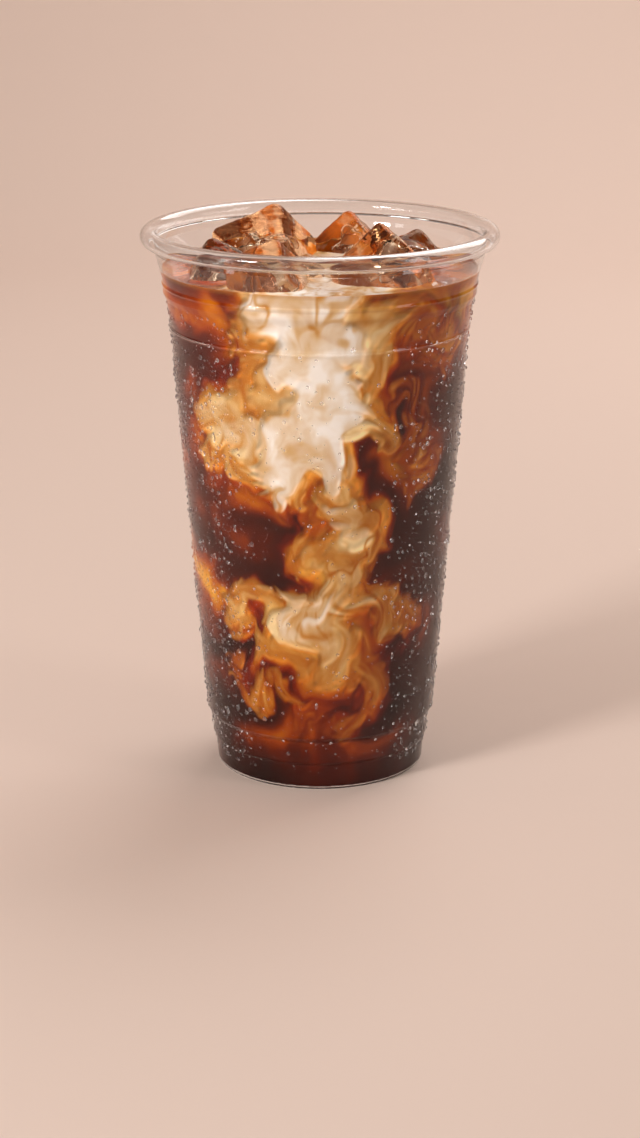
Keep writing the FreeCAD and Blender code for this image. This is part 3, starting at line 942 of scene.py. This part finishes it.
def hollow_maker(block):
    """An ice block's shape a tenth of a millimetre smaller, with fewer faces, to cut its hollow."""
    mesh = block.data.copy()
    points = coordinates(mesh)
    normals = np.array([v.normal[:] for v in mesh.vertices])
    mesh.vertices.foreach_set("co", (points - normals * INTO_WALL * MM).ravel())
    cutter = in_scene(block.name + "_hollow", mesh)
    fewer = cutter.modifiers.new("fewer", "DECIMATE")
    fewer.ratio = HOLLOW_DETAIL
    return plain_mesh(cutter, cutter.name)


def cut_hollows(top, blocks):
    """Cut every block's hollow out of the top slab."""
    for block in blocks:
        cutter = hollow_maker(block)
        cut = top.modifiers.new("hollow", "BOOLEAN")
        cut.operation = "DIFFERENCE"
        cut.solver = "EXACT"
        cut.object = cutter
        plain_mesh(top, top.name)
        bpy.data.objects.remove(cutter)
    smooth(top.data)


print("a hollow keeps", HOLLOW_DETAIL, "of the ice's faces")

# %% The four slabs
levels = [LOWEST, *SLAB_JOINTS, SURFACE + MENISCUS_RISE]
drink = []
for i, name in enumerate(("drink_foot", "drink_low", "drink_middle", "drink_top")):
    low, high = levels[i:i + 2]
    bottom = (floor_at, FLOOR_SPACING) if i == 0 else (flat_at(low - SIDE_STEP), HIDDEN_SPACING)
    top = (surface_height, TOP_SPACING) if i == 3 else (flat_at(high + SIDE_STEP), HIDDEN_SPACING)
    drink.append(slab(name, low, high, bottom, top))
cut_hollows(drink[-1], ice_blocks)
for piece in drink:
    print(piece.name, triangles(piece), "triangles")

# %% [markdown]
# ## The drink's colours
# Every point of the slabs takes its colour from the layers worked out above, as an attribute that the material
# reads. The hollows round the ice are what is seen through the ice, so they are milky amber near the surface,
# where painted daylight comes down through little coffee, and brown further down, where less of it reaches.
# Where the liquid climbs the wall in a thin edge it is amber too, as painted light that shines through it.

# %% Colours of the hollows
# Painted light and shade: amber near the surface, where daylight comes down through little coffee, and darker
# brown further down, where less of it reaches.
SHALLOW, DEEP = np.array(linear("#ca7c2c")), np.array(linear("#7c3812"))
POOL_MILK = np.array(linear("#f4e8dc"))
DEEP_DOWN, MILK_DOWN = 20, 28  # how far under the surface amber turns brown, and milk ends, in millimetres


def hollow_colour(points):
    """The colour of a hollow's walls: milk and painted amber light near the surface, and coffee's own brown,
    darkened by painted shade, further down.
    """
    depth = np.clip(SURFACE - points[:, 2], 0, None)[:, None]
    amber = SHALLOW + (DEEP - SHALLOW) * ease(depth / DEEP_DOWN)
    x, y, z = points.T
    mottle = patches(95, x + 0.8 * z, y - 0.6 * z, 5, 3)[:, None]
    seen = top_colour(points)
    milk = POOL_MILK * 0.7 + seen * 0.3
    share = np.clip(2.6 * mottle - 0.05 + 1.3 * seen[:, 2:], 0, 1) * (1 - ease(depth / MILK_DOWN))
    return amber * (1 - share) + milk * share


print(f"hollows turn brown {DEEP_DOWN} mm down")

# %% Painting a slab
# Painted light: the amber of light shining through the thin liquid where it climbs the wall.
MENISCUS_LIGHT = np.array(linear("#b06a1c"))
MENISCUS_LIGHT_BAND, MENISCUS_LIGHT_STRENGTH = 1.2, 0.45  # how tall the band of painted light at the liquid's top edge is in millimetres, and how strong


def paint(piece):
    """Give each point of a slab the colour of the drink there. Returns which points lie in the open."""
    points = coordinates(piece.data) / MM
    out = np.hypot(points[:, 0], points[:, 1])
    on_wall = out > wall_at(points[:, 2]) - 0.02
    on_top = ~on_wall & (points[:, 2] > SURFACE - 0.05)
    colour = side_colour(points)
    colour[on_top] = top_colour(points[on_top])
    hollow = ~on_wall & ~on_top & (points[:, 2] > SLAB_JOINTS[-1] + 0.1)
    colour[hollow] = hollow_colour(points[hollow])
    # Painted light: the side turns amber towards its top edge, as if lit through the thin meniscus.
    edge = (np.clip((points[:, 2] - SURFACE + 0.3) / MENISCUS_LIGHT_BAND, 0, 1) * MENISCUS_LIGHT_STRENGTH * on_wall)[:, None]
    colour = colour * (1 - edge) + MENISCUS_LIGHT * edge
    mixed = piece.data.color_attributes.new("mixed", "FLOAT_COLOR", "POINT")
    mixed.data.foreach_set("color", np.column_stack([np.clip(colour, 0, 1), np.ones(len(colour))]).ravel())
    return on_top | hollow


print(f"an amber edge {MENISCUS_LIGHT_BAND} mm tall")

# %% The drink's material, and the painting
COFFEE_IOR = 1.34  # hardly more than water's


def drink_material(name, roughness, specular):
    """Coffee and milk: the colours are the points' own, from the layers worked out above."""
    material, tree, output = new_material(name)
    mixed = add(tree, "ShaderNodeAttribute", {"attribute_name": "mixed"})
    surface = add(tree, "ShaderNodeBsdfPrincipled", Base_Color=mixed.outputs["Color"],
                  Roughness=roughness, IOR=COFFEE_IOR)
    surface.inputs["Specular IOR Level"].default_value = specular
    tree.links.new(surface.outputs[0], output.inputs["Surface"])
    return material


# Behind plastic a liquid has no gloss of its own. Its open surface has water's.
BEHIND_WALL = drink_material("cold_brew_behind_wall", 0.5, 0.0)
OPEN_SURFACE = drink_material("cold_brew_open_surface", 0.04, 0.5)
for piece in drink:
    open_point = paint(piece)
    piece.data.materials.clear()
    piece.data.materials.append(BEHIND_WALL)
    piece.data.materials.append(OPEN_SURFACE)
    for face in piece.data.polygons:
        face.material_index = int(all(open_point[i] for i in face.vertices))
    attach(piece, "root")
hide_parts("coffee")
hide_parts("milk")
print("painted", sum(len(piece.data.vertices) for piece in drink), "points")

# %% [markdown]
# ## Clear plastic and clear ice
# PET is a clear plastic with an index of 1.57, and ice has 1.31, a little less than water. Both are glass
# shaders. The cup's index is matched down to 1.44, because in a pale studio the full sheen of two wall faces
# greys the dark coffee. A lamp's light has to reach the milk through them, and a path tracer can't aim a lamp
# through a bend, so for shadows alone they count as see-through.

# %% Clear materials
TRAPPED = 5.5  # light that has met more faces than this is let out straight, because it would turn black
PET_IOR, ICE_IOR, WATER_IOR = 1.44, 1.31, 1.333
BEAD_GLOW = 0.03  # the share of a bead of water that is a pale fog


def clear_material(name, colour, roughness, ior):
    """A clear solid that bends light. Lamps shine through it, and light that is trapped in it gets out."""
    material, tree, output = new_material(name)
    clear = add(tree, "ShaderNodeBsdfGlass", Color=rgba(colour), Roughness=roughness, IOR=ior)
    through = add(tree, "ShaderNodeBsdfTransparent", Color=rgba(colour))
    ray = add(tree, "ShaderNodeLightPath")
    lost = add(tree, "ShaderNodeMath", {"operation": "GREATER_THAN"}, _0=ray.outputs["Ray Depth"], _1=TRAPPED)
    straight = add(tree, "ShaderNodeMath", {"operation": "MAXIMUM"},
                   _0=ray.outputs["Is Shadow Ray"], _1=lost.outputs[0])
    mixed = add(tree, "ShaderNodeMixShader", _0=straight.outputs[0], _1=clear.outputs[0], _2=through.outputs[0])
    tree.links.new(mixed.outputs[0], output.inputs["Surface"])
    return material


PET = clear_material("thermoformed_pet", "#fdfdfd", 0.0, PET_IOR)
ICE = clear_material("melting_ice", "#f9ead9", 0.01, ICE_IOR)
print("clear:", PET.name, "and", ICE.name)


# %% Condensed water, and the ice's material
def dew_material():
    """Beads of water: clear, but each one gathers the lamps' light behind it, which reads as a pale fog."""
    material, tree, output = new_material("condensation")
    clear = add(tree, "ShaderNodeBsdfGlass", Color=rgba("#ffffff"), Roughness=0.0, IOR=WATER_IOR)
    gathered = add(tree, "ShaderNodeBsdfDiffuse", Color=rgba("#ffffff"))
    bead = add(tree, "ShaderNodeMixShader", _0=BEAD_GLOW, _1=clear.outputs[0], _2=gathered.outputs[0])
    through = add(tree, "ShaderNodeBsdfTransparent")
    ray = add(tree, "ShaderNodeLightPath")
    mixed = add(tree, "ShaderNodeMixShader",
                _0=ray.outputs["Is Shadow Ray"], _1=bead.outputs[0], _2=through.outputs[0])
    tree.links.new(mixed.outputs[0], output.inputs["Surface"])
    return material


WATER = dew_material()
for name, block in zip(ICE_NODES, ice_blocks):
    block.data.materials.clear()
    block.data.materials.append(ICE)
    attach(block, "root")
    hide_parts(name)
print(len(ice_blocks), "blocks of ice finished")

# %% [markdown]
# ## The cup
# A thermoformed cup is one thin sheet, so its whole shape is in its section: the pushed-up base, the stepped
# foot, the long taper, two beads, the stacking shoulder, the lid collar and the rolled lip. Clear plastic
# shows every uneven triangle as a zigzag, so the section is cut out of the CAD cup's mesh and turned again in
# even steps, with the small radii that a mould leaves in each corner.

# %% The cup's section
def cup_section():
    """The cup's section as a line of radius and height in millimetres, from pole to pole of its base."""
    shape = bmesh.new()
    shape.from_mesh(cup.data)
    bmesh.ops.remove_doubles(shape, verts=shape.verts, dist=1e-7)
    everything = shape.verts[:] + shape.edges[:] + shape.faces[:]
    bmesh.ops.bisect_plane(shape, geom=everything, dist=1e-7, plane_co=(0, 0, 0), plane_no=(0, 1, 0),
                           clear_inner=True, clear_outer=True)
    poles = sorted((v for v in shape.verts if abs(v.co.x) < 1e-6), key=lambda v: v.co.z)
    before, here = poles[0], max((e.other_vert(poles[0]) for e in poles[0].link_edges), key=lambda v: v.co.x)
    line = [before, here]
    while here is not poles[1]:
        before, here = here, next(v for v in (e.other_vert(here) for e in here.link_edges) if v is not before)
        line.append(here)
    points = [Vector((v.co.x, v.co.z)) / MM for v in line]
    shape.free()
    return points


cad_section = cup_section()
print(len(cad_section), "points in the CAD cup's section")

# %% Its corners rounded
# Lengths in millimetres.
MOULD_RADIUS = 0.35
SUPPORT = 0.5  # how far from its ends a long straight run gets a point
LONG_RUN = 8  # and how far apart the points between them are
SHARP_TURN = 0.2  # radians


def softened(line):
    """The same line with its corners rounded, and with a point near each end of a long straight run."""
    made = [line[0]]
    for before, here, after in zip(line, line[1:], line[2:]):
        way_in, way_out = here - before, after - here
        turn = way_in.angle(way_out)
        if turn < SHARP_TURN:
            made.append(here)
            continue
        back = min(MOULD_RADIUS * math.tan(turn / 2), 0.4 * way_in.length, 0.4 * way_out.length)
        start, end = here - way_in.normalized() * back, here + way_out.normalized() * back
        for share in (0, 0.25, 0.5, 0.75, 1):
            made.append(start.lerp(here, share).lerp(here.lerp(end, share), share))
    made.append(line[-1])
    supported = [made[0]]
    for before, here in zip(made, made[1:]):
        run = (here - before).length
        if run > 3 * SUPPORT:
            pieces = max(1, round((run - 2 * SUPPORT) / LONG_RUN))
            ends = [SUPPORT + (run - 2 * SUPPORT) * i / pieces for i in range(pieces + 1)]
            supported += [before.lerp(here, along / run) for along in ends]
        supported.append(here)
    return supported


section = softened(cad_section)
print(len(section), "points in the rounded section")

# %% The cup, turned from its section
TURN_STEPS = 200


def turned(name, line, steps):
    """Turn a line that starts and ends on the axis into a closed shell whose faces point out."""
    points = [(0, 0, line[0].y)]
    for radius, height in line[1:-1]:
        for i in range(steps):
            angle = 2 * math.pi * i / steps
            points.append((radius * math.cos(angle), radius * math.sin(angle), height))
    points.append((0, 0, line[-1].y))
    last = len(points) - 1
    faces = []
    for i in range(steps):
        after = (i + 1) % steps
        faces.append((0, 1 + after, 1 + i))
        for row in range(len(line) - 3):
            base = 1 + row * steps
            faces.append((base + i, base + after, base + steps + after, base + steps + i))
        faces.append((last, last - steps + i, last - steps + after))
    return mesh_object(name, [Vector(point) * MM for point in points], faces)


cup_shell = turned("cup_shell", section, TURN_STEPS)
cup_shell.data.materials.append(PET)
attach(cup_shell, "root")
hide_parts("cup")
print(cup_shell.name, triangles(cup_shell), "triangles")

# %% [markdown]
# ## Condensation
# Water from warm air beads on the cold wall: a fog of fine drops, larger ones where they have merged, and a
# few that have grown too heavy and run. They are small domes, scattered by Geometry Nodes over a strip that
# follows the wall's outside, with more of them where the strip's wetness is higher.

# %% The wet strip
STRIP_LOW, STRIP_HIGH = 5.0, 134.0  # heights in millimetres
STRIP_COLUMNS, STRIP_ROWS = 180, 65
STRIP_INSET = 0.05  # how deep the drops' flat undersides lie in the wall, in millimetres
OUTSIDE = 0.08  # a radius in metres from which rays look inwards at the wall
DRY_HALF, DRY_FADE = 24, 26  # the drier front: degrees each way, and over how many more it ends
DRY_WETNESS = 0.16


def outer_radius(height):
    """The wall's outside radius at a height, in millimetres."""
    hits = []
    for turn in LOOK_ANGLES:
        way = Vector((math.cos(turn), math.sin(turn), 0))
        hits.append(cup_tree.ray_cast(way * OUTSIDE + Vector((0, 0, height * MM)), -way)[0])
    return max(hit.xy.length for hit in hits) / MM


def wet_strip():
    """A strip just inside the wall's outer face, with a wetness at each point."""
    heights = np.linspace(STRIP_LOW, STRIP_HIGH, STRIP_ROWS)
    angles = np.radians(np.arange(STRIP_COLUMNS) * 360 / STRIP_COLUMNS)
    radii = np.array([outer_radius(z) for z in heights]) - STRIP_INSET
    a, z = np.meshgrid(angles, heights)
    r = np.repeat(radii[:, None], STRIP_COLUMNS, axis=1)
    points = np.stack([r * np.sin(a), -r * np.cos(a), z], axis=-1).reshape(-1, 3)
    strip = mesh_object("wet_strip", points * MM, ring_faces(STRIP_ROWS, STRIP_COLUMNS))
    from_front = np.degrees(np.arccos(np.cos(a.ravel())))
    u, v = MEAN_RADIUS * a.ravel(), z.ravel()
    wet = DRY_WETNESS + (1 - DRY_WETNESS) * ease((from_front - DRY_HALF) / DRY_FADE)
    wet *= np.clip(0.8 + 0.7 * patches(90, u, v, 14, 2), 0.1, 1)
    wet *= 1 - 0.5 * ease((v - 112) / 20)
    strip.data.attributes.new("wetness", "FLOAT", "POINT").data.foreach_set("value", wet)
    return strip


print(f"the wet strip runs from {STRIP_LOW:.0f} to {STRIP_HIGH:.0f} mm up")


# %% The shape of a drop
def drop_shape(name, segments, rings, height):
    """A dome of water one across, closed below, with a contact angle that suits plastic."""
    points, faces = [(0, 0, height)], []
    for level in range(1, rings + 1):
        lean = math.pi / 2 * level / rings
        for i in range(segments):
            turn = 2 * math.pi * i / segments
            points.append((0.5 * math.sin(lean) * math.cos(turn), 0.5 * math.sin(lean) * math.sin(turn),
                           height * math.cos(lean)))
    for i in range(segments):
        faces.append((0, 1 + i, 1 + (i + 1) % segments))
        for level in range(rings - 1):
            here, after = 1 + level * segments + i, 1 + level * segments + (i + 1) % segments
            faces.append((here, here + segments, after + segments, after))
    last = 1 + (rings - 1) * segments
    faces.append(tuple(last + i for i in reversed(range(segments))))
    return mesh_object(name, points, faces)


print("drops are made by", drop_shape.__name__)

# %% The tree that scatters drops
MOSTLY_SMALL = 2.4  # the power that makes small drops the common ones


def scatter_tree():
    """Scatter a drop over a surface by its wetness. Small drops far outnumber large ones."""
    tree = bpy.data.node_groups.new("scatter_drops", "GeometryNodeTree")
    face = tree.interface
    face.new_socket("Geometry", in_out="OUTPUT", socket_type="NodeSocketGeometry")
    for name, kind in (("Geometry", "Geometry"), ("Drop", "Object"), ("Per square metre", "Float"),
                       ("Apart", "Float"), ("Least size", "Float"), ("Largest size", "Float"),
                       ("Stretch", "Float"), ("Seed", "Int"), ("Material", "Material")):
        face.new_socket(name, in_out="INPUT", socket_type="NodeSocket" + kind)
    given = tree.nodes.new("NodeGroupInput").outputs
    wet = add(tree, "GeometryNodeInputNamedAttribute", {"data_type": "FLOAT"}, Name="wetness")
    spread = add(tree, "GeometryNodeDistributePointsOnFaces", {"distribute_method": "POISSON"},
                 Mesh=given["Geometry"], Distance_Min=given["Apart"], Density_Max=given["Per square metre"],
                 Density_Factor=wet.outputs[0], Seed=given["Seed"])
    chance = add(tree, "FunctionNodeRandomValue", {"data_type": "FLOAT"}, Seed=given["Seed"])
    bent = add(tree, "ShaderNodeMath", {"operation": "POWER"}, _0=chance.outputs[1], _1=MOSTLY_SMALL)
    size = add(tree, "ShaderNodeMapRange",
               _0=bent.outputs[0], _3=given["Least size"], _4=given["Largest size"])
    tall = add(tree, "ShaderNodeMath", {"operation": "MULTIPLY"}, _0=size.outputs[0], _1=given["Stretch"])
    scale = add(tree, "ShaderNodeCombineXYZ", X=size.outputs[0], Y=tall.outputs[0], Z=size.outputs[0])
    drop = add(tree, "GeometryNodeObjectInfo", Object=given["Drop"])
    upright = add(tree, "FunctionNodeAlignRotationToVector", {"axis": "Y", "pivot_axis": "Z"},
                  Rotation=spread.outputs["Rotation"], Vector=(0, 0, 1))
    placed = add(tree, "GeometryNodeInstanceOnPoints", Points=spread.outputs["Points"],
                 Instance=drop.outputs["Geometry"], Rotation=upright.outputs[0], Scale=scale.outputs[0])
    real = add(tree, "GeometryNodeRealizeInstances", Geometry=placed.outputs[0])
    finish = add(tree, "GeometryNodeSetMaterial", Geometry=real.outputs[0], Material=given["Material"])
    tree.links.new(finish.outputs[0], tree.nodes.new("NodeGroupOutput").inputs[0])
    return tree


SCATTER = scatter_tree()
print(len(SCATTER.nodes), "nodes in the tree")


# %% Scattering with it
def scatter(name, base, drop, material, slot, **inputs):
    """Scatter drops over a base that has a wetness, as one plain mesh."""
    drops = base.modifiers.new("drops", "NODES")
    drops.node_group = SCATTER
    sockets = {item.name: item.identifier for item in SCATTER.interface.items_tree if item.in_out == "INPUT"}
    for key, value in {"Drop": drop, "Material": material, **inputs}.items():
        drops[sockets[key.replace("_", " ")]] = value
    plain_mesh(base, name)
    smooth(base.data)
    bpy.data.objects.remove(drop)
    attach(base, "root")
    print(name, triangles(base), "triangles")


# %% The drops
scatter("dew_fine", wet_strip(), drop_shape("fine_drop", 6, 2, 0.42), WATER, "cup", Seed=5,
        Per_square_metre=700000.0, Apart=0.81 * MM, Least_size=0.32 * MM, Largest_size=0.72 * MM, Stretch=1.0)
scatter("dew_drops", wet_strip(), drop_shape("full_drop", 8, 3, 0.46), WATER, "cup", Seed=11,
        Per_square_metre=270000.0, Apart=1.45 * MM, Least_size=0.7 * MM, Largest_size=1.5 * MM, Stretch=1.08)
scatter("dew_runs", wet_strip(), drop_shape("running_drop", 12, 4, 0.32), WATER, "cup", Seed=17,
        Per_square_metre=3500.0, Apart=8 * MM, Least_size=0.9 * MM, Largest_size=1.4 * MM, Stretch=2.2)

# %% [markdown]
# ## What is frozen into the ice
# Water freezes from the outside in and pushes its air ahead of it, so a block's middle is cloudy with bubbles,
# and it cracks when warm coffee is poured on it. A bubble or a crack is a hole, and light passes from ice into
# air there, which is the ice's own index upside down.

# %% Bubbles
AIR_IN_ICE = clear_material("air_in_ice", "#ffffff", 0.0, 1 / ICE_IOR)
CORE_SIZE = 0.55  # of the block's size


def ball_shape(name):
    """A small round bubble one across, of twenty faces made eighty."""
    shape = bmesh.new()
    bmesh.ops.create_icosphere(shape, subdivisions=2, radius=0.5)
    mesh = bpy.data.meshes.new(name)
    shape.to_mesh(mesh)
    shape.free()
    return in_scene(name, mesh)


def cloudy_cores():
    """A shrunken copy of every block, for the bubbles to gather on."""
    shape = bmesh.new()
    for node in ICE_NODES:
        low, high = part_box(node)
        middle = (low + high) / 2
        core = merged_copy(NODES[node], "core")
        for vertex in core.data.vertices:
            vertex.co = middle + CORE_SIZE * (vertex.co - middle)
        shape.from_mesh(core.data)
        bpy.data.objects.remove(core)
    made = mesh_object("cores", [], [])
    shape.to_mesh(made.data)
    shape.free()
    everywhere = made.data.attributes.new("wetness", "FLOAT", "POINT")
    everywhere.data.foreach_set("value", [1.0] * len(made.data.vertices))
    return made


scatter("ice_bubbles", cloudy_cores(), ball_shape("bubble"), AIR_IN_ICE, "ice", Seed=23,
        Per_square_metre=160000.0, Apart=0.8 * MM, Least_size=0.15 * MM, Largest_size=0.8 * MM, Stretch=1.3)

# %% A crack
CRACK_HALF = 0.06  # half a crack's thickness at its middle, in millimetres


def crack(rng, middle, radius):
    """A thin curved hole in the ice: a disc that bulges to a tenth of a millimetre, closed at its rim."""
    rings, segments = 9, 30
    across = Vector(rng.normal(size=3)).normalized()
    along = across.orthogonal().normalized()
    other = across.cross(along)
    waves = rng.uniform(0, 2 * math.pi, 4)
    points, faces = [], []
    for side in (1, -1):
        for quad in ring_faces(rings + 1, segments):
            faces.append([len(points) + i for i in quad[::-side]])
        for level in range(rings + 1):
            out = level / rings
            for i in range(segments):
                turn = 2 * math.pi * i / segments
                ragged = 1 + 0.22 * math.sin(3 * turn + waves[0]) + 0.12 * math.sin(5 * turn + waves[1])
                x, y = radius * out * ragged * math.cos(turn), radius * out * ragged * math.sin(turn)
                bend = 0.9 * math.sin(x / 2.6 + waves[2]) + 0.7 * math.sin(y / 2.1 + waves[3])
                rise = bend + side * CRACK_HALF * (1 - out**2)
                points.append(middle + along * x + other * y + across * rise)
    return points, faces


print(f"a crack is {2 * CRACK_HALF:.2f} mm thick at its middle")

# %% Cracks in every block
CRACKS = 4


def ice_cracks():
    """Cracks round a point a little above the middle of every block, as one piece."""
    rng = np.random.default_rng(21)
    points, faces = [], []
    for node in ICE_NODES:
        low, high = (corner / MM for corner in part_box(node))
        size = min(high - low)
        for _ in range(CRACKS):
            middle = (low + high) / 2 + Vector(rng.uniform(-0.1, 0.1, 3) * size) + Vector((0, 0, 0.1 * size))
            more_points, more_faces = crack(rng, middle, size * rng.uniform(0.14, 0.22))
            faces += [[len(points) + i for i in face] for face in more_faces]
            points += more_points
    made = mesh_object("ice_cracks", [point * MM for point in points], faces)
    shape = bmesh.new()
    shape.from_mesh(made.data)
    bmesh.ops.remove_doubles(shape, verts=shape.verts, dist=1e-7)
    bmesh.ops.recalc_face_normals(shape, faces=shape.faces)
    shape.to_mesh(made.data)
    shape.free()
    made.data.materials.append(AIR_IN_ICE)
    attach(made, "root")
    print(made.name, triangles(made), "triangles")


ice_cracks()
